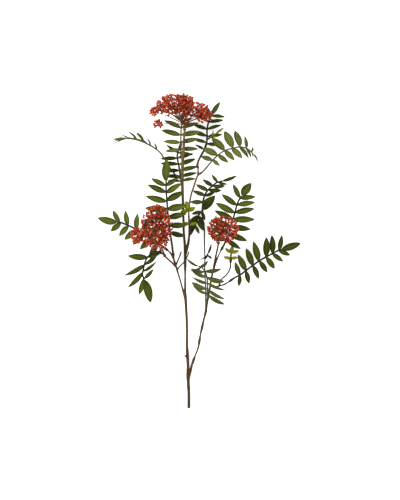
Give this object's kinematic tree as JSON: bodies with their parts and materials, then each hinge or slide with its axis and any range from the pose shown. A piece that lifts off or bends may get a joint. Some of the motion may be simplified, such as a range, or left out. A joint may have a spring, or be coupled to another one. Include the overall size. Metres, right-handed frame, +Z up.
{
  "type": "rowan berry sprig",
  "caption": "Cut rowan branch lying down: forked woody stem, toothed compound leaves and domed heads of small orange-red berries.",
  "frame": {"origin": "on the surface that the branch lies on, in the middle of the small flat under the stem, 24 mm from the cut end", "axes": "+Y up the stem from the cut end to the top berries, +Z up from the surface, +X to the right seen from above"},
  "size_m": [0.4567, 0.7021, 0.1143],
  "materials": {
    "bark": "rough grey-brown bark with pale pores and a greyer cut end",
    "leaf_dark": "satin dark green leaf, paler midrib and side veins",
    "leaf_olive": "matt grey-olive leaf underside",
    "leaf_young": "satin yellow-green young leaf",
    "berry": "satin orange-red berry with a dark maroon tip, on a red-brown stalk"
  },
  "bodies": {
    "root": {"woody_stem": "bark", "leaf_top_behind": "leaf_dark", "leaf_upper_right": "leaf_olive", "leaf_upper_left": "leaf_olive", "leaf_top_front": "leaf_olive", "leaf_inner_upper": "leaf_dark", "leaf_middle_left": "leaf_dark", "leaf_far_left": "leaf_dark", "leaf_low_left": "leaf_dark", "leaf_centre_right": "leaf_dark", "leaf_centre_dark": "leaf_dark", "leaf_middle_right": "leaf_dark", "leaf_low_right": "leaf_dark", "leaf_low_centre": "leaf_olive", "leaf_inner_dark": "leaf_dark", "shoot_upper_right": "leaf_young", "shoot_centre": "leaf_young", "shoot_right": "leaf_young", "berries_top": "berry", "berries_left": "berry", "berries_right": "berry"}
  },
  "joints": []
}
